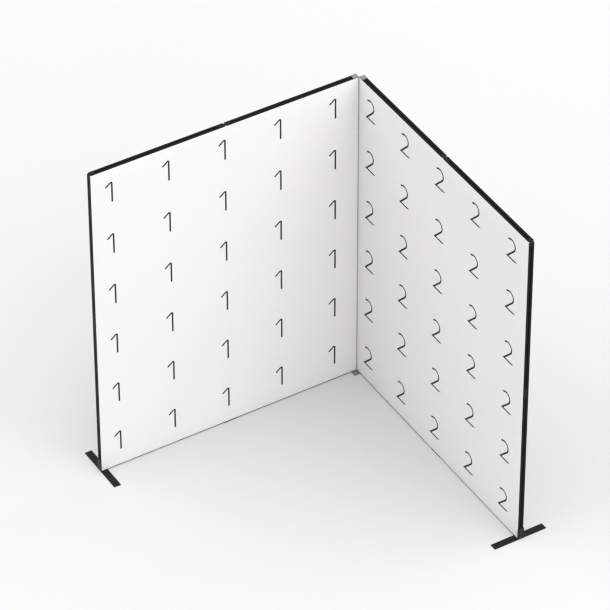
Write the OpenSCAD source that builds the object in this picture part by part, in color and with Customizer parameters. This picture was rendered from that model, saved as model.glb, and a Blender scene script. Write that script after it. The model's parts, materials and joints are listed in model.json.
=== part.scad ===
// Free-standing corner wall: two stretched-fabric panels joined by a corner hinge.
// Millimetres. The hinge axis is the Z axis and the floor is z = 0.
// The left panel runs along -X with its front facing -Y.
// The right panel runs along -Y with its front facing -X.

/* [Panels] */
// Length of each panel along the floor
panel_width = 2000; // [1000:10:3000]
// Height of each panel, without the plates below it
panel_height = 2500; // [1500:10:3000]
// Thickness of each panel, from front face to back face
panel_depth = 40; // [38:1:60]

/* [Frame profile] */
// Height of the profile, from its outer face inwards
profile_height = 25; // [20:1:40]
// Thickness of the outer wall, whose edge frames the fabric
edge_wall = 2.5; // [2:0.25:4]
// Thickness of the inner webs and skins
skin = 1.5; // [1:0.25:2]
// Width of the groove for the silicone edge of the fabric
groove_width = 3.5; // [3:0.25:4]
// Depth of that groove, measured from the face of the panel
groove_depth = 12; // [10:0.5:12]
// Opening of the slot that runs round the outer face
slot_opening = 8; // [7:0.5:10]
// Inside width of that slot
slot_width = 12; // [12:0.5:14]
// Depth of the slot floor below the outer face
slot_floor = 9.5; // [8:0.5:11]
// Step of the profile face below its edge, which the fabric fills
face_step = 0.8; // [0.6:0.1:1.2]
// Length along a member of the chamfers that end its outer wall
chamfer_along = 7; // [3:0.5:10]
// Reach of those chamfers across the member
chamfer_across = 11.5; // [4:0.5:11.5]

/* [Frame joints] */
// Gap between two members that meet
joint_gap = 0.6; // [0.2:0.1:1.5]
// Reach of a corner bracket into each member
bracket_reach = 80; // [60:5:120]
// Thickness of the corner brackets and splice bars
bar_thick = 6; // [4:0.5:6]
// Length of a lock block
block_length = 41; // [40:1:60]
// Distance from a member's end to the set screw of its lock block
set_screw_at = 24; // [22:0.5:25]
// Distances from a member's end to the two fixing screws of its lock block
fix_screw_at = 14; // [13:0.5:14.5]
far_screw_at = 34; // [33:0.5:36]

/* [Screws] */
// Shank diameter of the slot screws and set screws
screw_d = 6; // [5:0.5:6]
// Head diameter of the slot screws
head_d = 10.5; // [9:0.5:11]
// Head height of the slot screws
head_h = 2.6; // [2:0.1:2.7]

/* [Stabiliser] */
// Size of the upright tube along the panel
tube_width = 18; // [16:1:30]
// Size of the upright tube through the panel
tube_depth = 30; // [24:1:32]
// Wall of the upright tube
tube_wall = 1.5; // [1:0.25:2]
// Length of the sleeve inside the tube's joint
sleeve_length = 160; // [100:10:240]
// Length of the shoe at each end of the tube
shoe_length = 72; // [66:2:100]

/* [Fabric] */
// Thickness of the stretched fabric
fabric_thick = 0.5; // [0.3:0.05:0.5]

/* [Feet] */
// Height of the panels above the floor
floor_gap = 5; // [5:0.5:8]
// Length of each foot, across its panel
foot_length = 400; // [300:10:600]
// Width of each foot and of its strap
foot_width = 50; // [44:1:70]
// Thickness of the foot's upright strap
strap_thick = 3; // [2:0.5:5]
// Height of the strap above the panel's lower edge
strap_height = 88; // [88:1:120]
// Height of the lowest strap screw above the panel's lower edge
strap_screw_low = 14; // [13.5:0.5:15]
// Pitch of the three strap screws
strap_screw_pitch = 33; // [25:1:33]
// Length of the pad under the middle joint of each lower rail
pad_length = 100; // [90:2:160]

/* [Corner hinge] */
// Gap between the hinge axis and the end of each panel
corner_gap = 1; // [0.8:0.1:3]
// Side of the square base plate
base_size = 90; // [84:1:140]
// Thickness of the base plate
base_thick = 2.5; // [2:0.1:2.6]
// Length of each hinge leaf along its panel
leaf_length = 40; // [40:1:60]
// Thickness of the two upper hinge leaves
leaf_thick = 3; // [3:0.5:8]
// Radius of the ears round the hinge axis
ear_radius = 4.5; // [4:0.25:6]
// Diameter of the hinge pins
pin_d = 4; // [3:0.5:5]

/* [Hidden] */
$fn = 48;
slide_fit = 0.2;         // play of a bar or block in its channel
thread_fit = 0.1;        // play of a screw in its thread, on the diameter
hole_fit = 0.6;          // play of a screw in a clearance hole, on the diameter
turn_fit = 0.2;          // play of a turning bore, on the diameter
ear_play = 0.2;          // play above and below a hinge ear
relief_play = 0.5;       // play round a hinge ear
socket_d = 4;            // hexagon socket across its corners
cut = 1;                 // overshoot of every cutting solid
mid_depth = panel_depth / 2;
web_floor = slot_floor + skin;           // top of the inner chamber
bar_at = web_floor + slide_fit;          // outer face of brackets and bars
side_skin = face_step + skin;            // wall between chamber and fabric
block_top = 0.3;                         // lock block below the outer face
ear_thick = leaf_thick / 2 - ear_play / 2;
relief_radius = ear_radius + relief_play;
lower_leaf_thick = floor_gap - base_thick - ear_play / 2;
shank_end = slot_floor - 2 * slide_fit;  // tip of the slot screws
counter_d = head_d + 0.9;
pin_seat = 0.6;                          // floor left under the lower pin
shoe_plate = 2;
shoe_plug = 40;
shoe_screw_d = 4;
shoe_screw_at = shoe_length / 2 - 9;     // from the middle of the rail

frame_black = [0.13, 0.13, 0.13];
block_black = [0.2, 0.2, 0.2];
foot_black = [0.17, 0.19, 0.2];
plate_grey = [0.57, 0.61, 0.64];
bare_metal = [0.75, 0.76, 0.77];
screw_grey = [0.6, 0.61, 0.62];
fabric_white = [0.95, 0.95, 0.94];
strip_white = [0.9, 0.9, 0.9];

// ---- placing -------------------------------------------------------------
// Everything is drawn in panel coordinates: x along the panel from its hinge
// end, y from the front face to the back face, z up from the lower edge.

module on_left() {
    mirror([1, 0, 0]) translate([corner_gap, 0, floor_gap]) children();
}

module on_right() {
    rotate([0, 0, -90]) translate([corner_gap, 0, floor_gap]) children();
}

// Turns a thing of the lower edge over to the upper edge.
module at_top() {
    translate([0, 0, panel_height]) mirror([0, 0, 1]) children();
}

// Turns a thing of the hinge end over to the outer end.
module at_outer() {
    translate([panel_width, 0, 0]) mirror([1, 0, 0]) children();
}

// Turns a thing of the front face over to the back face.
module at_back() {
    translate([0, panel_depth, 0]) mirror([0, 1, 0]) children();
}

// Member coordinates: x along the member from its mitred end, outer face at
// z = 0, body below. These two set a member along the floor or upright.
module lie_down() {
    mirror([0, 0, 1]) children();
}

module stand_up() {
    rotate([0, -90, 0]) children();
}

// Counts an end from the middle joint of a member of the given length.
module from_joint(length) {
    translate([length, 0, 0]) mirror([1, 0, 0]) children();
}

// ---- frame members -------------------------------------------------------

module profile_outline() {
    cavity_height = profile_height - skin - web_floor;
    step_height = profile_height - edge_wall + cut;
    difference() {
        translate([0, -profile_height]) square([panel_depth, profile_height]);
        translate([-cut, -profile_height - cut]) square([face_step + cut, step_height]);
        translate([panel_depth - face_step, -profile_height - cut])
            square([face_step + cut, step_height]);
        translate([-cut, -edge_wall - groove_width])
            square([groove_depth + cut, groove_width]);
        translate([panel_depth - groove_depth, -edge_wall - groove_width])
            square([groove_depth + cut, groove_width]);
        translate([mid_depth - slot_opening / 2, -edge_wall - cut])
            square([slot_opening, edge_wall + 2 * cut]);
        translate([mid_depth - slot_width / 2, -slot_floor])
            square([slot_width, slot_floor - edge_wall]);
        translate([side_skin, -web_floor - cavity_height])
            square([panel_depth - 2 * side_skin, cavity_height]);
    }
}

// Takes away everything beyond the 45 degree plane of a frame corner.
module mitre_wedge(back_off) {
    reach = profile_height + cut;
    translate([0, panel_depth + cut, 0]) rotate([90, 0, 0])
        linear_extrude(panel_depth + 2 * cut)
            polygon([[back_off - cut, cut], [-2 * cut, cut],
                     [-2 * cut, -reach], [back_off + reach, -reach]]);
}

module end_chamfers(x) {
    for (y = [0, panel_depth])
        translate([x, y, -edge_wall - cut / 2])
            linear_extrude(edge_wall + cut)
                polygon([[chamfer_along, 0], [0, chamfer_across],
                         [-chamfer_along, 0], [0, -chamfer_across]]);
}

// A rail has chamfers and shoe holes at its middle joint, a post has neither.
module member(length, is_rail) {
    end = length - joint_gap / 2;
    difference() {
        rotate([90, 0, 90]) linear_extrude(end) profile_outline();
        mitre_wedge(joint_gap / 2);
        end_chamfers(0);
        if (is_rail) end_chamfers(end);
        for (x = [set_screw_at, length - set_screw_at])
            translate([x, mid_depth, -web_floor - cut])
                cylinder(d = screw_d + hole_fit, h = skin + 2 * cut);
        if (is_rail)
            translate([length - shoe_screw_at, mid_depth, -profile_height - cut])
                cylinder(d = shoe_screw_d + thread_fit, h = skin + 2 * cut);
    }
}

module bottom_rail() {
    color(frame_black) lie_down() member(panel_width / 2, true);
}

module lower_post() {
    color(frame_black) stand_up() member(panel_height / 2, false);
}

// ---- joints of the frame -------------------------------------------------

module corner_bracket() {
    width = panel_depth - 2 * side_skin - 2 * slide_fit;
    translate([bar_at, side_skin + slide_fit, bar_at]) {
        cube([bracket_reach, width, bar_thick]);
        cube([bar_thick, width, bracket_reach]);
    }
}

module corner_brackets() {
    color(bare_metal) {
        corner_bracket();
        at_top() corner_bracket();
        at_outer() corner_bracket();
        at_outer() at_top() corner_bracket();
    }
}

module splice_bar(length) {
    width = panel_depth - 2 * side_skin - 2 * slide_fit;
    translate([length - bracket_reach, side_skin + slide_fit, -bar_at - bar_thick])
        cube([2 * bracket_reach, width, bar_thick]);
}

module splice_bars() {
    color(bare_metal) {
        lie_down() splice_bar(panel_width / 2);
        at_top() lie_down() splice_bar(panel_width / 2);
        stand_up() splice_bar(panel_height / 2);
        at_outer() stand_up() splice_bar(panel_height / 2);
    }
}

// Tee section that fills the slot and its opening.
module slot_bar(start, end) {
    neck = slot_opening - 2 * slide_fit;
    body = slot_width - 2 * slide_fit;
    shoulder = edge_wall + slide_fit;
    translate([start, mid_depth, 0]) rotate([90, 0, 90]) linear_extrude(end - start) {
        translate([-neck / 2, -shoulder - cut]) square([neck, shoulder + cut - block_top]);
        translate([-body / 2, -slot_floor + slide_fit])
            square([body, slot_floor - slide_fit - shoulder]);
    }
}

module block_bores(places) {
    for (x = places)
        translate([x, mid_depth, -slot_floor - cut])
            cylinder(d = screw_d + thread_fit, h = slot_floor + 2 * cut);
}

module mitred_block() {
    difference() {
        slot_bar(0, block_length);
        mitre_wedge(joint_gap);
        block_bores([fix_screw_at, set_screw_at, far_screw_at]);
    }
}

module joint_block() {
    difference() {
        slot_bar(joint_gap, block_length);
        block_bores([fix_screw_at, set_screw_at, far_screw_at]);
    }
}

module set_screw() {
    translate([set_screw_at, mid_depth, -bar_at]) difference() {
        cylinder(d = screw_d, h = bar_at - 2 * block_top);
        translate([0, 0, bar_at - 2 * block_top - 2.5])
            cylinder(d = socket_d, h = 2.5 + cut, $fn = 6);
    }
}

// Sets its child at every mitred member end but the foot's.
module at_mitred_ends() {
    lie_down() children();
    at_top() lie_down() children();
    at_outer() lie_down() children();
    at_outer() at_top() lie_down() children();
    stand_up() children();
    at_top() stand_up() children();
    at_outer() at_top() stand_up() children();
}

// Sets its child at both sides of the middle joints of the frame.
module at_joint_ends() {
    lie_down() from_joint(panel_width / 2) children();
    at_top() lie_down() from_joint(panel_width / 2) children();
    at_outer() lie_down() from_joint(panel_width / 2) children();
    at_outer() at_top() lie_down() from_joint(panel_width / 2) children();
    stand_up() from_joint(panel_height / 2) children();
    at_top() stand_up() from_joint(panel_height / 2) children();
    at_outer() stand_up() from_joint(panel_height / 2) children();
    at_outer() at_top() stand_up() from_joint(panel_height / 2) children();
}

module lock_blocks() {
    color(block_black) {
        at_mitred_ends() mitred_block();
        at_joint_ends() joint_block();
    }
}

module set_screws() {
    color(screw_grey) {
        at_mitred_ends() set_screw();
        at_joint_ends() set_screw();
    }
}

// ---- stabiliser ----------------------------------------------------------

module stabiliser_lower() {
    foot = profile_height + shoe_plate;
    height = panel_height / 2 - joint_gap / 2 - foot;
    color(bare_metal)
        translate([panel_width / 2, mid_depth, foot + height / 2]) difference() {
            cube([tube_width, tube_depth, height], center = true);
            cube([tube_width - 2 * tube_wall, tube_depth - 2 * tube_wall, height + 2 * cut],
                 center = true);
        }
}

module stabiliser_sleeve() {
    color(bare_metal)
        translate([panel_width / 2, mid_depth, panel_height / 2])
            cube([tube_width - 2 * tube_wall - 2 * slide_fit,
                  tube_depth - 2 * tube_wall - 2 * slide_fit, sleeve_length],
                 center = true);
}

module stabiliser_shoe() {
    plug_width = tube_width - 2 * tube_wall - 2 * slide_fit;
    plug_depth = tube_depth - 2 * tube_wall - 2 * slide_fit;
    translate([panel_width / 2, mid_depth, profile_height]) difference() {
        union() {
            translate([-shoe_length / 2, -tube_depth / 2, 0])
                cube([shoe_length, tube_depth, shoe_plate]);
            translate([-plug_width / 2, -plug_depth / 2, 0])
                cube([plug_width, plug_depth, shoe_plate + shoe_plug]);
        }
        for (x = [-shoe_screw_at, shoe_screw_at])
            translate([x, 0, -cut])
                cylinder(d = shoe_screw_d + hole_fit, h = shoe_plate + 2 * cut);
    }
}

module stabiliser_shoes() {
    color(bare_metal) {
        stabiliser_shoe();
        at_top() stabiliser_shoe();
    }
}

module shoe_screw(x) {
    translate([panel_width / 2 + x, mid_depth, profile_height + shoe_plate]) {
        cylinder(d = 2 * shoe_screw_d, h = 2);
        translate([0, 0, -shoe_plate - skin - 2])
            cylinder(d = shoe_screw_d, h = shoe_plate + skin + 2 + cut);
    }
}

module shoe_screws() {
    color(screw_grey) {
        for (x = [-shoe_screw_at, shoe_screw_at]) {
            shoe_screw(x);
            at_top() shoe_screw(x);
        }
    }
}

// ---- fabric --------------------------------------------------------------

module front_fabric() {
    inset = edge_wall + slide_fit;
    color(fabric_white)
        translate([inset, face_step - fabric_thick - slide_fit / 2, inset])
            cube([panel_width - 2 * inset, fabric_thick, panel_height - 2 * inset]);
}

module front_strips() {
    play = slide_fit + thread_fit / 2;
    thick = groove_width - 2 * play;
    inset = edge_wall + play;
    shorter = edge_wall + groove_width + play;
    reach = groove_depth - face_step - 2 * play;
    for (z = [inset, panel_height - inset - thick])
        translate([inset, face_step, z])
            cube([panel_width - 2 * inset, reach, thick]);
    for (x = [inset, panel_width - inset - thick])
        translate([x, face_step, shorter])
            cube([thick, reach, panel_height - 2 * shorter]);
}

module edge_strips() {
    color(strip_white) {
        front_strips();
        at_back() front_strips();
    }
}

// ---- feet ----------------------------------------------------------------

function strap_places() = [for (i = [0 : 2]) strap_screw_low + i * strap_screw_pitch];

module foot() {
    near = panel_width + strap_thick;
    color(foot_black) difference() {
        union() {
            translate([near - foot_width, mid_depth - foot_length / 2, -floor_gap])
                cube([foot_width, foot_length, floor_gap]);
            translate([panel_width, mid_depth - foot_width / 2, -floor_gap])
                cube([strap_thick, foot_width, floor_gap + strap_height]);
        }
        for (z = strap_places())
            translate([panel_width - cut, mid_depth, z]) rotate([0, 90, 0])
                cylinder(d = screw_d + hole_fit, h = strap_thick + 2 * cut);
        for (side = [-1, 1])
            translate([panel_width - cut, mid_depth + side * foot_width / 2, strap_height])
                rotate([0, 90, 0]) cylinder(r = 5, h = strap_thick + 2 * cut, $fn = 4);
    }
}

module foot_nut_strip() {
    color(screw_grey) at_outer() stand_up() difference() {
        slot_bar(0, strap_height);
        mitre_wedge(joint_gap);
        block_bores(strap_places());
    }
}

// Low round head with a hexagon socket and its shank, along +z, seat at z = 0.
module slot_screw(grip) {
    difference() {
        cylinder(d = head_d, h = head_h);
        translate([0, 0, head_h - 1.6]) cylinder(d = socket_d, h = 1.6 + cut, $fn = 6);
    }
    translate([0, 0, -grip - shank_end]) cylinder(d = screw_d, h = grip + shank_end + 0.5);
}

module foot_screws() {
    color(screw_grey)
        for (z = strap_places())
            translate([panel_width + strap_thick, mid_depth, z]) rotate([0, 90, 0])
                slot_screw(strap_thick);
}

function pad_places() = [-far_screw_at, -fix_screw_at, fix_screw_at, far_screw_at];

module middle_pad() {
    color(frame_black)
        difference() {
            translate([panel_width / 2 - pad_length / 2, 0, -floor_gap])
                cube([pad_length, panel_depth, floor_gap]);
            for (x = pad_places())
                translate([panel_width / 2 + x, mid_depth, -floor_gap - cut]) {
                    cylinder(d = screw_d + hole_fit, h = floor_gap + 2 * cut);
                    cylinder(d = counter_d, h = head_h + 0.3 + cut);
                }
        }
}

module pad_screws() {
    grip = floor_gap - head_h - 0.3;
    color(screw_grey)
        for (x = pad_places())
            translate([panel_width / 2 + x, mid_depth, -grip]) rotate([180, 0, 0])
                slot_screw(grip);
}

// ---- corner hinge --------------------------------------------------------

sink_d = screw_d + 4.4;
sink_h = 2.2;

// Countersunk hole along +z whose wide end is at z = 0.
module sunk_hole(depth) {
    translate([0, 0, -cut]) cylinder(d = screw_d + hole_fit, h = depth + 2 * cut);
    translate([0, 0, -cut]) cylinder(d = sink_d + hole_fit, h = cut + 0.1);
    translate([0, 0, 0.1]) cylinder(d1 = sink_d + hole_fit, d2 = screw_d + hole_fit, h = sink_h);
}

// Countersunk screw along +z whose head is flush at z = 0.
module sunk_screw(grip) {
    difference() {
        union() {
            translate([0, 0, 0.15]) cylinder(d1 = sink_d, d2 = screw_d, h = sink_h);
            translate([0, 0, 0.15]) cylinder(d = screw_d, h = grip + shank_end - 0.15);
        }
        translate([0, 0, -cut]) cylinder(d = socket_d, h = 1.4 + cut, $fn = 6);
    }
}

module leaf_screw_places() {
    for (x = [fix_screw_at, far_screw_at]) translate([x, mid_depth, 0]) children();
}

// Space round the hinge axis, in panel coordinates.
module axis_at(z) {
    translate([-corner_gap, 0, z]) children();
}

module base_plate() {
    color(plate_grey) difference() {
        union() {
            axis_at(-floor_gap) translate([-base_size / 2, -base_size / 2, 0])
                cube([base_size, base_size, base_thick]);
            difference() {
                translate([0, 0, -floor_gap]) cube([leaf_length, panel_depth, floor_gap]);
                axis_at(-floor_gap + base_thick) cylinder(r = relief_radius, h = floor_gap);
            }
        }
        axis_at(-floor_gap + pin_seat) cylinder(d = pin_d, h = floor_gap);
        leaf_screw_places() translate([0, 0, -floor_gap]) sunk_hole(floor_gap);
    }
}

module lower_pin() {
    color(screw_grey) axis_at(-floor_gap + pin_seat)
        cylinder(d = pin_d, h = floor_gap - pin_seat - ear_play);
}

module lower_leaf() {
    color(plate_grey) difference() {
        union() {
            translate([0, 0, -lower_leaf_thick])
                cube([leaf_length, panel_depth, lower_leaf_thick]);
            axis_at(-lower_leaf_thick) cylinder(r = ear_radius, h = lower_leaf_thick - ear_play);
        }
        axis_at(-floor_gap) cylinder(d = pin_d + turn_fit, h = floor_gap + cut);
        leaf_screw_places() translate([0, 0, -lower_leaf_thick]) sunk_hole(lower_leaf_thick);
    }
}

module upper_leaf_left() {
    color(plate_grey) translate([0, 0, panel_height]) difference() {
        union() {
            difference() {
                cube([leaf_length, panel_depth, leaf_thick]);
                axis_at(ear_thick) cylinder(r = relief_radius, h = leaf_thick);
            }
            axis_at(ear_play) cylinder(r = ear_radius, h = ear_thick - ear_play);
        }
        axis_at(-cut) cylinder(d = pin_d, h = leaf_thick + 2 * cut);
        leaf_screw_places() translate([0, 0, leaf_thick]) mirror([0, 0, 1]) sunk_hole(leaf_thick);
    }
}

module upper_leaf_right() {
    ear_low = leaf_thick - ear_thick;
    color(plate_grey) translate([0, 0, panel_height]) difference() {
        union() {
            difference() {
                cube([leaf_length, panel_depth, leaf_thick]);
                axis_at(-cut) cylinder(r = relief_radius, h = ear_low + cut);
            }
            axis_at(ear_low) cylinder(r = ear_radius, h = ear_thick);
        }
        axis_at(-cut) cylinder(d = pin_d + turn_fit, h = leaf_thick + 2 * cut);
        leaf_screw_places() translate([0, 0, leaf_thick]) mirror([0, 0, 1]) sunk_hole(leaf_thick);
    }
}

module upper_rivet() {
    color(screw_grey) axis_at(panel_height + ear_play) {
        cylinder(d = pin_d, h = leaf_thick - ear_play + 0.5);
        translate([0, 0, leaf_thick]) cylinder(d = pin_d + 2.6, h = 1);
    }
}

module upper_leaf_screws() {
    leaf_screw_places() translate([0, 0, panel_height + leaf_thick])
        mirror([0, 0, 1]) sunk_screw(leaf_thick);
}

module lower_leaf_screws(thick) {
    leaf_screw_places() translate([0, 0, -thick]) sunk_screw(thick);
}

// ---- nodes: left panel ---------------------------------------------------

module left_top_rail_inner() on_left() at_top() bottom_rail();
module left_top_rail_outer() on_left() at_outer() at_top() bottom_rail();
module left_bottom_rail_inner() on_left() bottom_rail();
module left_bottom_rail_outer() on_left() at_outer() bottom_rail();
module left_inner_post_upper() on_left() at_top() lower_post();
module left_inner_post_lower() on_left() lower_post();
module left_outer_post_upper() on_left() at_outer() at_top() lower_post();
module left_outer_post_lower() on_left() at_outer() lower_post();
module left_corner_brackets() on_left() corner_brackets();
module left_splice_bars() on_left() splice_bars();
module left_lock_blocks() on_left() lock_blocks();
module left_set_screws() on_left() set_screws();
module left_stabiliser_lower() on_left() stabiliser_lower();
module left_stabiliser_upper() on_left() at_top() stabiliser_lower();
module left_stabiliser_sleeve() on_left() stabiliser_sleeve();
module left_stabiliser_shoes() on_left() stabiliser_shoes();
module left_shoe_screws() on_left() shoe_screws();
module left_front_fabric() on_left() front_fabric();
module left_back_fabric() on_left() at_back() front_fabric();
module left_edge_strips() on_left() edge_strips();
module left_foot() on_left() foot();
module left_foot_nut_strip() on_left() foot_nut_strip();
module left_foot_screws() on_left() foot_screws();
module left_middle_pad() on_left() middle_pad();
module left_pad_screws() on_left() pad_screws();

// ---- nodes: right panel --------------------------------------------------

module right_top_rail_inner() on_right() at_top() bottom_rail();
module right_top_rail_outer() on_right() at_outer() at_top() bottom_rail();
module right_bottom_rail_inner() on_right() bottom_rail();
module right_bottom_rail_outer() on_right() at_outer() bottom_rail();
module right_inner_post_upper() on_right() at_top() lower_post();
module right_inner_post_lower() on_right() lower_post();
module right_outer_post_upper() on_right() at_outer() at_top() lower_post();
module right_outer_post_lower() on_right() at_outer() lower_post();
module right_corner_brackets() on_right() corner_brackets();
module right_splice_bars() on_right() splice_bars();
module right_lock_blocks() on_right() lock_blocks();
module right_set_screws() on_right() set_screws();
module right_stabiliser_lower() on_right() stabiliser_lower();
module right_stabiliser_upper() on_right() at_top() stabiliser_lower();
module right_stabiliser_sleeve() on_right() stabiliser_sleeve();
module right_stabiliser_shoes() on_right() stabiliser_shoes();
module right_shoe_screws() on_right() shoe_screws();
module right_front_fabric() on_right() front_fabric();
module right_back_fabric() on_right() at_back() front_fabric();
module right_edge_strips() on_right() edge_strips();
module right_foot() on_right() foot();
module right_foot_nut_strip() on_right() foot_nut_strip();
module right_foot_screws() on_right() foot_screws();
module right_middle_pad() on_right() middle_pad();
module right_pad_screws() on_right() pad_screws();

// ---- nodes: corner hinge -------------------------------------------------

module hinge_base_plate() on_left() base_plate();
module hinge_lower_leaf() on_right() lower_leaf();
module hinge_lower_pin() on_left() lower_pin();
module hinge_upper_leaf_left() on_left() upper_leaf_left();
module hinge_upper_leaf_right() on_right() upper_leaf_right();
module hinge_upper_rivet() on_left() upper_rivet();

module left_leaf_screws() color(screw_grey) on_left() {
    upper_leaf_screws();
    lower_leaf_screws(floor_gap);
}

module right_leaf_screws() color(screw_grey) on_right() {
    upper_leaf_screws();
    lower_leaf_screws(lower_leaf_thick);
}

left_top_rail_inner();
left_top_rail_outer();
left_bottom_rail_inner();
left_bottom_rail_outer();
left_inner_post_upper();
left_inner_post_lower();
left_outer_post_upper();
left_outer_post_lower();
left_corner_brackets();
left_splice_bars();
left_lock_blocks();
left_set_screws();
left_stabiliser_lower();
left_stabiliser_upper();
left_stabiliser_sleeve();
left_stabiliser_shoes();
left_shoe_screws();
left_front_fabric();
left_back_fabric();
left_edge_strips();
left_foot();
left_foot_nut_strip();
left_foot_screws();
left_middle_pad();
left_pad_screws();
right_top_rail_inner();
right_top_rail_outer();
right_bottom_rail_inner();
right_bottom_rail_outer();
right_inner_post_upper();
right_inner_post_lower();
right_outer_post_upper();
right_outer_post_lower();
right_corner_brackets();
right_splice_bars();
right_lock_blocks();
right_set_screws();
right_stabiliser_lower();
right_stabiliser_upper();
right_stabiliser_sleeve();
right_stabiliser_shoes();
right_shoe_screws();
right_front_fabric();
right_back_fabric();
right_edge_strips();
right_foot();
right_foot_nut_strip();
right_foot_screws();
right_middle_pad();
right_pad_screws();
hinge_base_plate();
hinge_lower_leaf();
hinge_lower_pin();
hinge_upper_leaf_left();
hinge_upper_leaf_right();
hinge_upper_rivet();
left_leaf_screws();
right_leaf_screws();
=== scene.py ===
"""Looks of a free-standing corner wall of two stretched-fabric panels.

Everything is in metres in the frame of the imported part. The floor is z = 0 and
the corner hinge turns about the Z axis. The left panel runs along -X with its
front facing -Y, and the right panel runs along -Y with its front facing -X.
"""

import json
import logging
import math
from dataclasses import dataclass, field
from enum import Enum
from typing import Dict, Iterable, List, Optional, Sequence, Tuple

import bmesh
import bpy
from mathutils import Euler, Matrix, Vector

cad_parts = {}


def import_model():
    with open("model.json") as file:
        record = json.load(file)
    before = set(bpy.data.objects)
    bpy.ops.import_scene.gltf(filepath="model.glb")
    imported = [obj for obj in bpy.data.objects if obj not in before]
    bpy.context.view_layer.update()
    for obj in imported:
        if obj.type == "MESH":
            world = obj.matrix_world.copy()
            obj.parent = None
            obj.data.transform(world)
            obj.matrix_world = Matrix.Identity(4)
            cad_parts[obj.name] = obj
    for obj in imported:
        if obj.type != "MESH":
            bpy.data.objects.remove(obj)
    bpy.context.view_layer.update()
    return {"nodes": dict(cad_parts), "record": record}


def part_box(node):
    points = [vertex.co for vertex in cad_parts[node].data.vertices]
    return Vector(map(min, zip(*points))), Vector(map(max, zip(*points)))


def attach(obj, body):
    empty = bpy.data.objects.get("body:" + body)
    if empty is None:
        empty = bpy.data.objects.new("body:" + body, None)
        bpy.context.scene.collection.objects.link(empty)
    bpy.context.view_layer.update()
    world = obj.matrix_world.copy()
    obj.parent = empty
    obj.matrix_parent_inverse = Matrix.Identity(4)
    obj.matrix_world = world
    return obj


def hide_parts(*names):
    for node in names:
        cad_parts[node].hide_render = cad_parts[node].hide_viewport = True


LOG = logging.getLogger("corner_wall")
MM = 0.001

Colour = Tuple[float, float, float]


# ---- small helpers ---------------------------------------------------------


def new_object(name: str, mesh: bpy.types.Mesh) -> bpy.types.Object:
    """Link a mesh to the scene as an object that sits at the origin.

    Args:
        name: Name of the piece.
        mesh: Its finished mesh, in the frame of the part.

    Returns:
        The new object.
    """
    piece = bpy.data.objects.new(name, mesh)
    bpy.context.scene.collection.objects.link(piece)
    return piece


def object_from(
    name: str,
    bm: bmesh.types.BMesh,
    place: Optional[Matrix] = None,
    material: Optional[bpy.types.Material] = None,
    smooth: bool = True,
    closed: bool = True,
) -> bpy.types.Object:
    """Turn a bmesh into a piece of the part.

    Args:
        name: Name of the piece.
        bm: The shape, which is freed here.
        place: Matrix that carries the shape to its place.
        material: Material of the piece.
        smooth: Whether its faces are shaded smooth.
        closed: Whether the shape is closed, so that its faces can be turned outwards.

    Returns:
        The new object.
    """
    if place is not None:
        bmesh.ops.transform(bm, matrix=place, verts=bm.verts[:])
        if place.determinant() < 0 and not closed:
            bmesh.ops.reverse_faces(bm, faces=bm.faces[:])
    if closed:
        bmesh.ops.recalc_face_normals(bm, faces=bm.faces[:])
    for face in bm.faces:
        face.smooth = smooth
    mesh = bpy.data.meshes.new(name)
    bm.to_mesh(mesh)
    bm.free()
    piece = new_object(name, mesh)
    if material is not None:
        mesh.materials.append(material)
    return piece


def new_verts(result: Dict[str, List]) -> List[bmesh.types.BMVert]:
    """Give the vertices that a bmesh operator made."""
    return [item for item in result["geom"] if isinstance(item, bmesh.types.BMVert)]


def new_edges(result: Dict[str, List]) -> List[bmesh.types.BMEdge]:
    """Give the edges that a bmesh operator made."""
    return [item for item in result["geom"] if isinstance(item, bmesh.types.BMEdge)]


# ---- node graphs and finishes ----------------------------------------------


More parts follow.
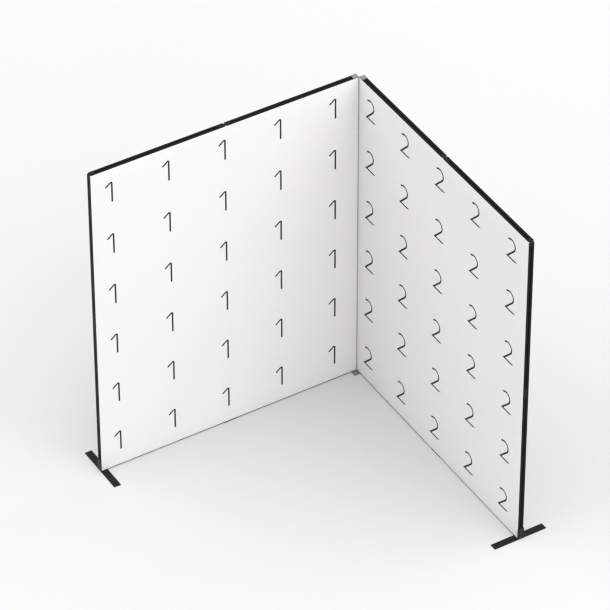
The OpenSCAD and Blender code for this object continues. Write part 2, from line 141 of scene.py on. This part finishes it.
class Graph:
    """A material's node graph with a few short ways of adding to it."""

    def __init__(self, name: str) -> None:
        """Start an empty material with a principled shader.

        Args:
            name: Name of the material.
        """
        self.material = bpy.data.materials.new(name)
        self.material.use_nodes = True
        self.nodes = self.material.node_tree.nodes
        self.links = self.material.node_tree.links
        self.shader = self.nodes["Principled BSDF"]

    def add(self, kind: str, values: Optional[Dict] = None, **settings: object) -> bpy.types.Node:
        """Add a node.

        Args:
            kind: Blender's name of the node's type.
            values: Values or output sockets for its inputs, by input name or index.
            **settings: Properties of the node itself.

        Returns:
            The new node.
        """
        node = self.nodes.new(kind)
        for key, value in settings.items():
            setattr(node, key, value)
        for key, value in (values or {}).items():
            self.feed(node.inputs[key], value)
        return node

    def feed(self, socket: bpy.types.NodeSocket, value: object) -> None:
        """Link a socket to an output, or set its value."""
        if isinstance(value, bpy.types.NodeSocket):
            self.links.new(value, socket)
        else:
            socket.default_value = value

    def set(self, **values: object) -> None:
        """Feed inputs of the shader, whose names are written with underscores."""
        for key, value in values.items():
            self.feed(self.shader.inputs[key.replace("_", " ")], value)

    def place(self, scale: Sequence[float] = (1, 1, 1), uv: bool = False) -> bpy.types.NodeSocket:
        """Give the coordinates that a pattern reads.

        Args:
            scale: Scale along each axis.
            uv: Whether the piece's own UV map is read in place of object coordinates.

        Returns:
            The scaled coordinates.
        """
        source = self.add("ShaderNodeTexCoord").outputs["UV" if uv else "Object"]
        return self.add("ShaderNodeMapping", {"Vector": source, "Scale": tuple(scale)}).outputs[0]

    def noise(
        self, where: bpy.types.NodeSocket, scale: float, detail: float = 3.0, rough: float = 0.55
    ) -> bpy.types.NodeSocket:
        """Give a noise from 0 to 1 in three dimensions."""
        values = {"Vector": where, "Scale": scale, "Detail": detail, "Roughness": rough}
        return self.add("ShaderNodeTexNoise", values).outputs[0]

    def span(
        self,
        value: bpy.types.NodeSocket,
        low: float,
        high: float,
        out_low: float = 0.0,
        out_high: float = 1.0,
    ) -> bpy.types.NodeSocket:
        """Stretch a value from one range to another, held at its ends.

        Args:
            value: The value.
            low: Where the first range starts.
            high: Where the first range ends.
            out_low: Result at the start.
            out_high: Result at the end.

        Returns:
            The stretched value.
        """
        values = {0: value, 1: low, 2: high, 3: out_low, 4: out_high}
        return self.add("ShaderNodeMapRange", values).outputs[0]

    def math(self, kind: str, a: object, b: object = 0.0) -> bpy.types.NodeSocket:
        """Give a sum, product or other operation on two values."""
        return self.add("ShaderNodeMath", {0: a, 1: b}, operation=kind).outputs[0]

    def blend(self, share: object, a: object, b: object) -> bpy.types.NodeSocket:
        """Mix two colours, each an output or three numbers.

        Args:
            share: Share of the second colour, from 0 to 1.
            a: First colour.
            b: Second colour.

        Returns:
            The mixed colour.
        """
        fix = [c if isinstance(c, bpy.types.NodeSocket) else (*c, 1.0) for c in (a, b)]
        node = self.add("ShaderNodeMix", data_type="RGBA")
        self.feed(node.inputs[0], share)
        self.feed(node.inputs[6], fix[0])
        self.feed(node.inputs[7], fix[1])
        return node.outputs[2]

    def bump(self, height: bpy.types.NodeSocket, depth: float, strength: float = 1.0) -> None:
        """Raise the surface by a height, whose full range is a depth in metres."""
        values = {"Height": height, "Distance": depth, "Strength": strength}
        self.set(Normal=self.add("ShaderNodeBump", values).outputs[0])


class Way(Enum):
    """The way along which a member was drawn or a plate was brushed."""

    X = (1.0, 60.0, 60.0)
    Y = (60.0, 1.0, 60.0)
    Z = (60.0, 60.0, 1.0)


@dataclass(frozen=True)
class Finish:
    """A surface finish with one main colour."""

    name: str
    colour: Colour
    roughness: float
    metallic: float = 0.0
    gloss: float = 0.5

    def start(self) -> Graph:
        """Start the material with its constant values."""
        graph = Graph(self.name)
        graph.set(Metallic=self.metallic, Specular_IOR_Level=self.gloss)
        return graph

    def shade(self, factor: float) -> Colour:
        """Give the colour made lighter or darker."""
        return tuple(min(1.0, c * factor) for c in self.colour)

    def vary_roughness(
        self,
        graph: Graph,
        pattern: bpy.types.NodeSocket,
        less: float,
        more: float,
        ends: Tuple[float, float] = (0.3, 0.7),
    ) -> None:
        """Let a pattern vary the roughness about the finish's own value.

        Args:
            graph: The material's graph.
            pattern: The value that drives the change.
            less: How much smoother the low end is.
            more: How much rougher the high end is.
            ends: Values of the pattern at which the change ends.
        """
        low, high = self.roughness - less, self.roughness + more
        graph.set(Roughness=graph.span(pattern, *ends, low, high))

    def material(self) -> bpy.types.Material:
        """Build the material of the finish."""
        raise NotImplementedError


@dataclass(frozen=True)
class Anodised(Finish):
    """Black anodised extrusion with fine die lines along its length."""

    way: Way = Way.X

    def material(self) -> bpy.types.Material:
        """Build the material of the finish."""
        graph = self.start()
        lines = graph.noise(graph.place(self.way.value), 22.0, 4.0, 0.7)
        cloud = graph.noise(graph.place(), 3.5)
        scuff = graph.span(graph.noise(graph.place(), 55.0, 5.0, 0.7), 0.62, 0.74)
        tone = graph.blend(graph.span(lines, 0.35, 0.65), self.shade(0.8), self.shade(1.25))
        tone = graph.blend(graph.math("MULTIPLY", cloud, 0.35), tone, self.shade(1.5))
        tone = graph.blend(graph.math("MULTIPLY", scuff, 0.25), tone, self.shade(3.0))
        graph.set(Base_Color=tone)
        self.vary_roughness(graph, lines, 0.07, 0.1)
        graph.bump(lines, 0.00003, 0.35)
        return graph.material


@dataclass(frozen=True)
class Moulded(Finish):
    """Glass-filled or hard moulded plastic with a fine grained face."""

    grain: float = 900.0

    def material(self) -> bpy.types.Material:
        """Build the material of the finish."""
        graph = self.start()
        grain = graph.noise(graph.place(), self.grain, 2.0)
        fleck = graph.span(graph.noise(graph.place(), self.grain * 0.6, 4.0, 0.8), 0.62, 0.7)
        cloud = graph.noise(graph.place(), 12.0)
        tone = graph.blend(graph.span(cloud, 0.3, 0.7), self.shade(0.85), self.shade(1.2))
        tone = graph.blend(graph.math("MULTIPLY", fleck, 0.3), tone, self.shade(2.6))
        graph.set(Base_Color=tone)
        self.vary_roughness(graph, grain, 0.08, 0.08)
        graph.bump(grain, 0.00008, 0.5)
        return graph.material


@dataclass(frozen=True)
class PowderCoat(Finish):
    """Powder coat with a fine orange-peel face and light shoe scuffs."""

    def material(self) -> bpy.types.Material:
        """Build the material of the finish."""
        graph = self.start()
        peel = graph.noise(graph.place(), 420.0, 2.0, 0.4)
        cloud = graph.noise(graph.place(), 9.0)
        scuff = graph.noise(graph.place((6.0, 30.0, 30.0)), 5.0, 6.0, 0.75)
        scuff = graph.span(scuff, 0.6, 0.72)
        tone = graph.blend(graph.span(cloud, 0.3, 0.7), self.shade(0.85), self.shade(1.2))
        tone = graph.blend(graph.math("MULTIPLY", scuff, 0.3), tone, self.shade(2.4))
        graph.set(Base_Color=tone)
        self.vary_roughness(graph, scuff, 0.0, 0.15, (0.0, 1.0))
        graph.bump(peel, 0.00012, 0.5)
        return graph.material


@dataclass(frozen=True)
class Brushed(Finish):
    """Brushed or drawn bare metal."""

    way: Way = Way.X

    def material(self) -> bpy.types.Material:
        """Build the material of the finish."""
        graph = self.start()
        lines = graph.noise(graph.place(self.way.value), 40.0, 5.0, 0.75)
        cloud = graph.noise(graph.place(), 25.0)
        tone = graph.blend(graph.span(lines, 0.3, 0.7), self.shade(0.88), self.shade(1.12))
        tone = graph.blend(graph.span(cloud, 0.35, 0.8, 0.0, 0.4), tone, self.shade(0.75))
        graph.set(Base_Color=tone)
        self.vary_roughness(graph, lines, 0.08, 0.1)
        graph.bump(lines, 0.00003, 0.4)
        return graph.material


@dataclass(frozen=True)
class Plated(Finish):
    """Zinc-plated steel with a soft spangle."""

    def material(self) -> bpy.types.Material:
        """Build the material of the finish."""
        graph = self.start()
        values = {"Vector": graph.place(), "Scale": 260.0}
        spangle = graph.add("ShaderNodeTexVoronoi", values).outputs["Distance"]
        haze = graph.noise(graph.place(), 120.0, 4.0)
        tone = graph.blend(graph.span(spangle, 0.0, 0.8), self.shade(1.1), self.shade(0.85))
        tone = graph.blend(graph.span(haze, 0.5, 0.8, 0.0, 0.4), tone, self.shade(0.7))
        graph.set(Base_Color=tone)
        self.vary_roughness(graph, haze, 0.07, 0.12)
        graph.bump(haze, 0.00004, 0.4)
        return graph.material


@dataclass(frozen=True)
class Knit(Finish):
    """Stretched warp-knit polyester; its UV map is in metres of the cut cloth."""

    wale: float = 0.55 * MM
    course: float = 0.42 * MM

    def loops(self, graph: Graph) -> bpy.types.NodeSocket:
        """Give the height of the knitted loops.

        Args:
            graph: The material's graph.

        Returns:
            The height, from 0 to 1.
        """
        where = graph.add("ShaderNodeSeparateXYZ", {0: graph.place(uv=True)})
        across = graph.math("MULTIPLY", where.outputs[0], 2 * math.pi / self.wale)
        along = graph.math("MULTIPLY", where.outputs[1], 2 * math.pi / self.course)
        lean = graph.math("MULTIPLY", graph.math("COSINE", across), 1.2)
        rows = graph.math("SINE", graph.math("ADD", along, lean))
        ribs = graph.math("ABSOLUTE", graph.math("SINE", graph.math("MULTIPLY", across, 0.5)))
        raised, halved = graph.math("ADD", rows, 1.0), graph.math("MULTIPLY", ribs, 0.5)
        return graph.math("MULTIPLY", raised, halved)

    def material(self) -> bpy.types.Material:
        """Build the material of the finish."""
        graph = self.start()
        loops = self.loops(graph)
        slub = graph.noise(graph.place((40.0, 900.0, 1.0), uv=True), 1.0, 3.0)
        cloud = graph.noise(graph.place(), 1.1, 4.0)
        tone = graph.blend(graph.span(cloud, 0.3, 0.7), self.shade(0.985), self.shade(1.0))
        tone = graph.blend(graph.span(slub, 0.35, 0.75, 0.0, 0.25), tone, self.shade(0.955))
        # Painted shade: where the knitted loops are low, between the loops, the colour is mixed up
        # to 16% toward 0.8 of itself.
        tone = graph.blend(graph.span(loops, 0.0, 0.5, 0.16, 0.0), tone, self.shade(0.8))
        graph.set(Base_Color=tone, Roughness=self.roughness, Sheen_Weight=0.03, Sheen_Roughness=0.5)
        graph.bump(loops, 0.00012, 0.22)
        return graph.material


@dataclass(frozen=True)
class Ink(Finish):
    """Matt printed ink that lets a little of the knit show."""

    def material(self) -> bpy.types.Material:
        """Build the material of the finish."""
        graph = self.start()
        worn = graph.noise(graph.place(), 900.0, 3.0)
        cloud = graph.noise(graph.place(), 30.0)
        tone = graph.blend(graph.span(cloud, 0.3, 0.7), self.shade(0.92), self.shade(1.08))
        tone = graph.blend(graph.span(worn, 0.55, 0.8, 0.0, 0.35), tone, self.shade(1.6))
        graph.set(Base_Color=tone, Roughness=self.roughness)
        graph.bump(worn, 0.00005, 0.3)
        return graph.material


@dataclass(frozen=True)
class Silicone(Finish):
    """Soft translucent edge strip."""

    def material(self) -> bpy.types.Material:
        """Build the material of the finish."""
        graph = self.start()
        cloud = graph.noise(graph.place(), 40.0)
        dust = graph.noise(graph.place(), 700.0, 3.0)
        tone = graph.blend(graph.span(cloud, 0.3, 0.7), self.shade(0.94), self.shade(1.0))
        tone = graph.blend(graph.span(dust, 0.6, 0.8, 0.0, 0.3), tone, self.shade(0.8))
        graph.set(Base_Color=tone, Roughness=self.roughness)
        graph.bump(dust, 0.00004, 0.3)
        return graph.material


@dataclass(frozen=True)
class PaleFloor(Finish):
    """Plain pale studio floor."""

    def material(self) -> bpy.types.Material:
        """Build the material of the finish."""
        graph = self.start()
        cloud = graph.noise(graph.place(), 0.6, 2.0)
        tone = graph.blend(graph.span(cloud, 0.3, 0.7), self.shade(0.995), self.shade(1.0))
        graph.set(Base_Color=tone, Roughness=self.roughness)
        return graph.material


class Finishes:
    """All finishes of the wall, made once and shared."""

    def __init__(self) -> None:
        """Build the shared materials."""
        black = (0.0060, 0.0060, 0.0061)
        plate = (0.215, 0.245, 0.272)
        mill = (0.560, 0.570, 0.580)
        self.frame = {
            way: Anodised(
                "anodised_" + way.name.lower(), black, 0.42, gloss=0.09, way=way
            ).material()
            for way in Way
        }
        self.plate = {
            way: Brushed("plate_" + way.name.lower(), plate, 0.42, 0.55, way=way).material()
            for way in (Way.X, Way.Y)
        }
        self.mill = {
            way: Brushed("mill_" + way.name.lower(), mill, 0.38, 1.0, way=way).material()
            for way in Way
        }
        grey = (0.022, 0.022, 0.022)
        dark = (0.012, 0.012, 0.013)
        blue_black = (0.0072, 0.0094, 0.0107)
        self.block = Moulded("glass_filled_grey", grey, 0.55, gloss=0.2).material()
        self.pad = Moulded("hard_black", dark, 0.5, gloss=0.2, grain=700.0).material()
        self.foot = PowderCoat("powder_blue_black", blue_black, 0.45, gloss=0.15).material()
        self.zinc = Plated("zinc", (0.48, 0.49, 0.50), 0.36, 1.0).material()
        self.dull_zinc = Plated("dull_zinc", (0.150, 0.155, 0.160), 0.42, 1.0).material()
        self.black_zinc = Plated("black_zinc", (0.055, 0.058, 0.060), 0.42, 1.0).material()
        self.knit = Knit("white_knit", (0.652, 0.647, 0.636), 0.85).material()
        self.ink = Ink("dark_ink", (0.024, 0.024, 0.023), 0.8, gloss=0.2).material()
        self.silicone = Silicone("silicone", (0.72, 0.72, 0.71), 0.5).material()
        self.floor = PaleFloor("pale_floor", (0.566, 0.567, 0.569), 0.9, gloss=0.1).material()

    def of_node(self, node: str, slot: str) -> bpy.types.Material:
        """Choose the material of a CAD node.

        Args:
            node: Name of the node.
            slot: Its material slot in the record.

        Returns:
            The material.
        """
        flat = Way.X if node.startswith("left") or node.endswith("left") else Way.Y
        along = Way.Z if "post" in node or "stabiliser" in node else flat
        if slot == "frame":
            return self.frame[along]
        if slot == "hinge_plate":
            return self.plate[flat]
        if slot == "inner_metal":
            return self.mill[along]
        if node.endswith("foot_screws"):
            return self.dull_zinc
        if node.endswith("set_screws"):
            return self.black_zinc
        plain = {
            "lock_block": self.block,
            "pad": self.pad,
            "foot": self.foot,
            "fastener": self.zinc,
            "fabric": self.knit,
            "edge_strip": self.silicone,
        }
        return plain[slot]


# ---- the panels ------------------------------------------------------------


class Side(Enum):
    """The two panels of the wall."""

    LEFT = "left"
    RIGHT = "right"


class Face(Enum):
    """The two faces of a panel."""

    FRONT = "front"
    BACK = "back"


@dataclass
class Panel:
    """One panel, which says where its own coordinates lie in the part.

    In panel coordinates x runs along the panel from its hinge end, y from the
    front face to the back face, and z up from its lower edge.
    """

    side: Side
    edge_wall: float = 2.5 * MM
    play: float = 0.2 * MM

    def __post_init__(self) -> None:
        """Read the panel's place and size from the frame."""
        low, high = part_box(f"{self.side.value}_inner_post_lower")
        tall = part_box(f"{self.side.value}_inner_post_upper")[1].z
        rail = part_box(f"{self.side.value}_bottom_rail_outer")[0]
        self.body = f"{self.side.value}_wall"
        self.floor_gap = low.z
        self.height = tall - low.z
        if self.side is Side.LEFT:
            self.corner_gap = -high.x
            self.depth = high.y - low.y
            self.width = -rail.x - self.corner_gap
        else:
            self.corner_gap = -high.y
            self.depth = high.x - low.x
            self.width = -rail.y - self.corner_gap

    def place(self, face: Face = Face.FRONT) -> Matrix:
        """Give the matrix from a face's coordinates to the part's frame.

        Args:
            face: The face; for the back face y runs forwards from the back.

        Returns:
            The matrix.
        """
        turned = Matrix.Identity(4)
        if face is Face.BACK:
            turned = Matrix.Translation((0, self.depth, 0)) @ Matrix.Scale(-1, 4, (0, 1, 0))
        shift = Matrix.Translation((self.corner_gap, 0, self.floor_gap))
        if self.side is Side.LEFT:
            return Matrix.Scale(-1, 4, (1, 0, 0)) @ shift @ turned
        return Matrix.Rotation(-math.pi / 2, 4, "Z") @ shift @ turned


@dataclass
class FabricFace:
    """The stretched cloth of one face, with the silicone edge sewn to it."""

    panel: Panel
    face: Face
    finishes: Finishes
    cloth: float = 0.4 * MM
    face_depth: float = 0.25 * MM
    turn_radius: float = 0.9 * MM
    turn_steps: int = 4
    hem_depth: float = 10.2 * MM
    cell: float = 0.1
    strip_thick: float = 2.1 * MM

    @property
    def prefix(self) -> str:
        """Start of the names of the face's pieces."""
        return f"{self.panel.side.value}_{self.face.value}"

    def rolled_edge(self) -> List[Tuple[float, float]]:
        """Give the steps over the turned edge.

        Returns:
            Outset from the flat part and depth below the panel's face.
        """
        steps = []
        for i in range(1, self.turn_steps + 1):
            angle = math.pi / 2 * i / self.turn_steps
            outset = self.turn_radius * math.sin(angle)
            steps.append((outset, self.face_depth + self.turn_radius * (1 - math.cos(angle))))
        steps.append((self.turn_radius, self.hem_depth))
        return steps

    def sheet(self) -> bpy.types.Object:
        """Build the cloth: a flat face whose edge turns down into the groove.

        Returns:
            The cloth.
        """
        panel = self.panel
        inset = panel.edge_wall + 0.5 * panel.play + self.turn_radius
        wide, tall = panel.width - 2 * inset, panel.height - 2 * inset
        bm = bmesh.new()
        columns, rows = round(wide / self.cell), round(tall / self.cell)
        bmesh.ops.create_grid(bm, x_segments=columns, y_segments=rows, size=0.5)
        upright = Matrix.Rotation(math.pi / 2, 4, "X") @ Matrix.Diagonal((wide, tall, 1, 1))
        bmesh.ops.transform(bm, matrix=upright, verts=bm.verts[:])
        bmesh.ops.translate(bm, vec=(0, self.face_depth, 0), verts=bm.verts[:])
        edge = [e for e in bm.edges if e.is_boundary]
        last_outset, last_depth = 0.0, self.face_depth
        for outset, depth in self.rolled_edge():
            made = bmesh.ops.extrude_edge_only(bm, edges=edge)
            ring = new_verts(made)
            grow = Vector((
                (wide / 2 + outset) / (wide / 2 + last_outset),
                1.0,
                (tall / 2 + outset) / (tall / 2 + last_outset),
            ))
            bmesh.ops.scale(bm, vec=grow, verts=ring)
            bmesh.ops.translate(bm, vec=(0, depth - last_depth, 0), verts=ring)
            edge = [e for e in new_edges(made) if e.is_boundary]
            last_outset, last_depth = outset, depth
        centre = Vector((panel.width / 2, 0, panel.height / 2))
        bmesh.ops.translate(bm, vec=centre, verts=bm.verts[:])
        self.spread_uv(bm)
        self.face_forward(bm)
        piece = object_from(
            f"{self.prefix}_cloth", bm, panel.place(self.face), self.finishes.knit, closed=False
        )
        solid = piece.modifiers.new("cloth", "SOLIDIFY")
        solid.thickness = self.cloth
        solid.offset = -1.0
        return piece

    def spread_uv(self, bm: bmesh.types.BMesh) -> None:
        """Write a UV map in metres of the cut cloth, with the hem spread flat.

        Args:
            bm: The cloth, in panel coordinates.
        """
        layer = bm.loops.layers.uv.new("cut")
        panel = self.panel
        for face in bm.faces:
            for loop in face.loops:
                x, y, z = loop.vert.co
                hem = y - self.face_depth
                out_x = math.copysign(hem, x - panel.width / 2) if hem > 0 else 0.0
                out_z = math.copysign(hem, z - panel.height / 2) if hem > 0 else 0.0
                side = min(x, panel.width - x) < min(z, panel.height - z)
                loop[layer].uv = (x + out_x * side, z + out_z * (not side))

    def face_forward(self, bm: bmesh.types.BMesh) -> None:
        """Turn all faces of the open cloth to look out of the panel."""
        bmesh.ops.recalc_face_normals(bm, faces=bm.faces[:])
        widest = max(bm.faces, key=lambda f: f.calc_area())
        if widest.normal.y > 0:
            bmesh.ops.reverse_faces(bm, faces=bm.faces[:])

    def strips(self) -> bpy.types.Object:
        """Build the four silicone strips that hold the cloth in the groove.

        Returns:
            The strips as one piece.
        """
        panel = self.panel
        inset = panel.edge_wall + 0.5 * panel.play + self.cloth + 0.1 * MM
        top = self.face_depth + self.cloth + 0.5 * MM
        deep = self.hem_depth - top
        bm = bmesh.new()
        long_x = panel.width - 2 * inset
        long_z = panel.height - 2 * (inset + self.strip_thick + 0.3 * MM)
        half = self.strip_thick / 2
        for sign in (-1, 1):
            z = panel.height / 2 + sign * (panel.height / 2 - inset - half)
            self.bar(bm, (long_x, deep, self.strip_thick), (panel.width / 2, top + deep / 2, z))
            x = panel.width / 2 + sign * (panel.width / 2 - inset - half)
            self.bar(bm, (self.strip_thick, deep, long_z), (x, top + deep / 2, panel.height / 2))
        return object_from(
            f"{self.prefix}_silicone", bm, panel.place(self.face), self.finishes.silicone
        )

    @staticmethod
    def bar(bm: bmesh.types.BMesh, size: Sequence[float], centre: Sequence[float]) -> None:
        """Add a bar with rounded edges.

        Args:
            bm: The shape that the bar is added to.
            size: Its size along each axis.
            centre: Its middle.
        """
        made = bmesh.ops.create_cube(bm, size=1.0)
        bmesh.ops.scale(bm, vec=size, verts=made["verts"])
        bmesh.ops.translate(bm, vec=centre, verts=made["verts"])
        edges = {e for v in made["verts"] for e in v.link_edges}
        bmesh.ops.bevel(
            bm,
            geom=list(edges),
            offset=0.7 * MM,
            segments=3,
            affect="EDGES",
            profile=0.5,
            material=-1,
        )

    def build(self) -> Tuple[bpy.types.Object, bpy.types.Object]:
        """Build and mount the cloth and its silicone edge.

        Returns:
            The cloth and the silicone strips.
        """
        cloth, strips = self.sheet(), self.strips()
        for piece, slot in ((cloth, "fabric"), (strips, "edge_strip")):
            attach(piece, self.panel.body)
        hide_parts(f"{self.prefix}_fabric")
        LOG.info("%s and %s", cloth.name, strips.name)
        return cloth, strips


# ---- printed numbers -------------------------------------------------------


@dataclass
class Pen:
    """Draws a stroke of even width as a strip of faces in the plane y = 0."""

    width: float
    at: Vector
    heading: float
    mesh: bmesh.types.BMesh = field(default_factory=bmesh.new)

    def __post_init__(self) -> None:
        """Put the pen down: an edge across the stroke."""
        half = self.side() * (self.width / 2)
        ends = [self.mesh.verts.new(self.at + half), self.mesh.verts.new(self.at - half)]
        self.edge = self.mesh.edges.new(ends)

    def ahead(self) -> Vector:
        """Give the direction in which the pen moves."""
        return Vector((math.cos(self.heading), 0, math.sin(self.heading)))

    def side(self) -> Vector:
        """Give the direction to the left of the pen."""
        return Vector((-math.sin(self.heading), 0, math.cos(self.heading)))

    def straight(self, length: float) -> "Pen":
        """Draw a straight stroke.

        Args:
            length: Length of the stroke.

        Returns:
            The pen, at the stroke's end.
        """
        made = bmesh.ops.extrude_edge_only(self.mesh, edges=[self.edge])
        bmesh.ops.translate(self.mesh, vec=self.ahead() * length, verts=new_verts(made))
        self.edge = new_edges(made)[0]
        self.at += self.ahead() * length
        return self

    def curve(self, radius: float, turn: float, steps: int) -> "Pen":
        """Draw an arc to the right.

        Args:
            radius: Radius of the stroke's middle line.
            turn: Angle of the arc, in radians.
            steps: Number of straight pieces in it.

        Returns:
            The pen, at the arc's end.
        """
        centre = self.at - self.side() * radius
        made = bmesh.ops.spin(
            self.mesh,
            geom=[self.edge, *self.edge.verts],
            cent=centre,
            axis=(0, 1, 0),
            angle=turn,
            steps=steps,
            use_duplicate=False,
        )
        last = [g for g in made["geom_last"] if isinstance(g, bmesh.types.BMEdge)]
        self.edge = last[0]
        self.heading -= turn
        self.at = centre + self.side() * radius
        return self

    def corner(self, heading: float) -> "Pen":
        """Turn on the spot with a mitred corner.

        Args:
            heading: The new heading, in radians.

        Returns:
            The pen, on its new heading.
        """
        half = (heading - self.heading) / 2
        slide = math.tan(half)
        for vert in self.edge.verts:
            out = (vert.co - self.at).dot(self.side())
            bmesh.ops.translate(self.mesh, vec=self.ahead() * (-out * slide), verts=[vert])
        self.heading = heading
        return self


class Digit(Enum):
    """The two numbers that are printed on the wall."""

    ONE = "1"
    TWO = "2"


@dataclass
class Numbers:
    """Rows of one printed number on the front of a panel."""

    panel: Panel
    digit: Digit
    finishes: Finishes
    first: float
    pitch: float = 417.0 * MM
    columns: int = 5
    rows: int = 6
    row_pitch: float = 420.0 * MM
    top: float = 2397.5 * MM
    stroke: float = 12.6 * MM
    stem_end: float = 166.0 * MM
    film: float = 0.12 * MM
    front: float = 0.08 * MM

    def one(self) -> Pen:
        """Draw a 1: a slanted flag and a stem."""
        rise = math.radians(39.5)
        pen = Pen(self.stroke, Vector((-45.0 * MM, 0, -40.0 * MM)), rise)
        pen.straight(47.0 * MM)
        pen.curve(self.stroke / 2 + 0.1 * MM, rise + math.pi / 2, 8)
        pen.straight(pen.at.z + self.stem_end)
        return pen

    def two(self) -> Pen:
        """Draw a 2: an open bow, a long slant and a flat foot."""
        pen = Pen(self.stroke, Vector((-43.0 * MM, 0, -21.5 * MM)), math.radians(37.0))
        pen.curve(74.0 * MM, math.radians(24.0), 5)
        pen.curve(42.0 * MM, math.radians(103.0), 18)
        pen.curve(48.0 * MM, math.radians(43.0), 8)
        low = -159.0 * MM
        pen.straight((pen.at.z - low) / -math.sin(pen.heading))
        pen.corner(0.0)
        pen.straight(98.0 * MM)
        return pen

    def glyph(self) -> bpy.types.Mesh:
        """Build one number as a thin film.

        Returns:
            Its mesh, with the top of the number at the origin.
        """
        pen = self.one() if self.digit is Digit.ONE else self.two()
        bm = pen.mesh
        bmesh.ops.recalc_face_normals(bm, faces=bm.faces[:])
        made = bmesh.ops.extrude_face_region(bm, geom=bm.faces[:])
        bmesh.ops.translate(bm, vec=(0, -self.film, 0), verts=new_verts(made))
        bmesh.ops.recalc_face_normals(bm, faces=bm.faces[:])
        mesh = bpy.data.meshes.new("number")
        bm.to_mesh(mesh)
        bm.free()
        return mesh

    def build(self) -> bpy.types.Object:
        """Build all numbers of the panel as one piece.

        Returns:
            The numbers.
        """
        mesh = self.glyph()
        bm = bmesh.new()
        reader = -1 if self.panel.side is Side.LEFT else 1
        for row in range(self.rows):
            for column in range(self.columns):
                start = len(bm.verts)
                bm.from_mesh(mesh)
                bm.verts.ensure_lookup_table()
                fresh = bm.verts[start:]
                bmesh.ops.scale(bm, vec=(reader, 1, 1), verts=fresh)
                x = self.first + column * self.pitch
                z = self.top - row * self.row_pitch
                bmesh.ops.translate(bm, vec=(x, self.front + self.film, z), verts=fresh)
        bpy.data.meshes.remove(mesh)
        name = f"{self.panel.side.value}_numbers"
        piece = object_from(name, bm, self.panel.place(), self.finishes.ink, smooth=False)
        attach(piece, self.panel.body)
        LOG.info("%s", piece.name)
        return piece


# ---- the studio ------------------------------------------------------------


@dataclass(frozen=True)
class SoftLamp:
    """A distant lamp as wide as a large softbox."""

    name: str
    azimuth: float
    elevation: float
    strength: float
    spread: float = 60.0

    def build(self) -> None:
        """Hang the lamp."""
        data = bpy.data.lights.new(self.name, "SUN")
        data.energy = self.strength
        data.angle = math.radians(self.spread)
        lamp = bpy.data.objects.new(self.name, data)
        bpy.context.scene.collection.objects.link(lamp)
        lamp.rotation_euler = Euler(
            (math.radians(90.0 - self.elevation), 0, math.radians(-self.azimuth)), "XYZ"
        )


@dataclass
class Studio:
    """Floor, light and camera."""

    finishes: Finishes
    eye: Vector = field(default_factory=lambda: Vector((-12.7678, -20.3612, 20.5884)))
    azimuth: float = -31.2486
    elevation: float = 39.7813
    roll: float = -0.0943
    lens: float = 273.209
    sensor: float = 36.0
    reach: float = 200.0
    edge_softness: float = 1.3
    floor_size: float = 120.0
    sky: float = 0.91
    lamps: Tuple[SoftLamp, ...] = (
        SoftLamp("front", 0.0, 22.0, 1.39),
        SoftLamp("left", 60.0, 50.0, 0.61),
        SoftLamp("right", -60.0, 50.0, 1.255),
        SoftLamp("behind", 120.0, 50.0, 0.854),
    )

    def camera(self) -> None:
        """Set the camera up."""
        data = bpy.data.cameras.new("camera")
        data.lens = self.lens
        data.sensor_width = self.sensor
        data.clip_end = self.reach
        camera = bpy.data.objects.new("camera", data)
        bpy.context.scene.collection.objects.link(camera)
        turn = Euler((math.radians(90.0 - self.elevation), 0, math.radians(self.azimuth)), "XYZ")
        tilt = Matrix.Rotation(math.radians(self.roll), 4, "Z")
        camera.matrix_world = Matrix.Translation(self.eye) @ turn.to_matrix().to_4x4() @ tilt
        bpy.context.scene.camera = camera

    def floor(self) -> None:
        """Lay the floor."""
        bm = bmesh.new()
        bmesh.ops.create_grid(bm, x_segments=4, y_segments=4, size=self.floor_size / 2)
        floor = object_from("floor", bm, None, self.finishes.floor, closed=False)

    def lights(self) -> None:
        """Light the scene with an even sky and a ring of very soft lamps."""
        world = bpy.data.worlds.new("studio")
        world.use_nodes = True
        sky = world.node_tree.nodes["Background"]
        sky.inputs["Color"].default_value = (1.0, 1.0, 1.0, 1.0)
        sky.inputs["Strength"].default_value = self.sky
        bpy.context.scene.world = world
        for lamp in self.lamps:
            lamp.build()
        bpy.context.scene.view_settings.view_transform = "Standard"
        bpy.context.scene.cycles.filter_width = self.edge_softness

    def build(self) -> None:
        """Build the whole studio."""
        self.camera()
        self.floor()
        self.lights()
        LOG.info("studio")


# ---- putting it together ---------------------------------------------------


def dress_nodes(frame: Dict, finishes: Finishes) -> None:
    """Give every CAD node the finish of its slot.

    Args:
        frame: What the frame loader returned.
        finishes: The shared finishes.
    """
    for row in frame["record"]["subparts"]:
        node, slot = row["node"], row["material_slot"]
        mesh = frame["nodes"][node].data
        mesh.materials.clear()
        mesh.materials.append(finishes.of_node(node, slot))


def build_wall(finishes: Finishes) -> None:
    """Build the cloth, silicone and printed numbers of both panels.

    Args:
        finishes: The shared finishes.
    """
    for side, digit, first in (
        (Side.LEFT, Digit.ONE, 179.0 * MM),
        (Side.RIGHT, Digit.TWO, 146.5 * MM),
    ):
        panel = Panel(side)
        numbers = Numbers(panel, digit, finishes, first).build()
        for face in Face:
            maker = FabricFace(panel, face, finishes)
            cloth, strip = maker.build()
        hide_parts(f"{side.value}_edge_strips")


def main() -> None:
    """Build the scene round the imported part."""
    logging.basicConfig(level=logging.INFO, format="%(name)s: %(message)s")
    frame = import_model()
    finishes = Finishes()
    Studio(finishes).build()
    dress_nodes(frame, finishes)
    build_wall(finishes)


if __name__ == "__main__":
    main()
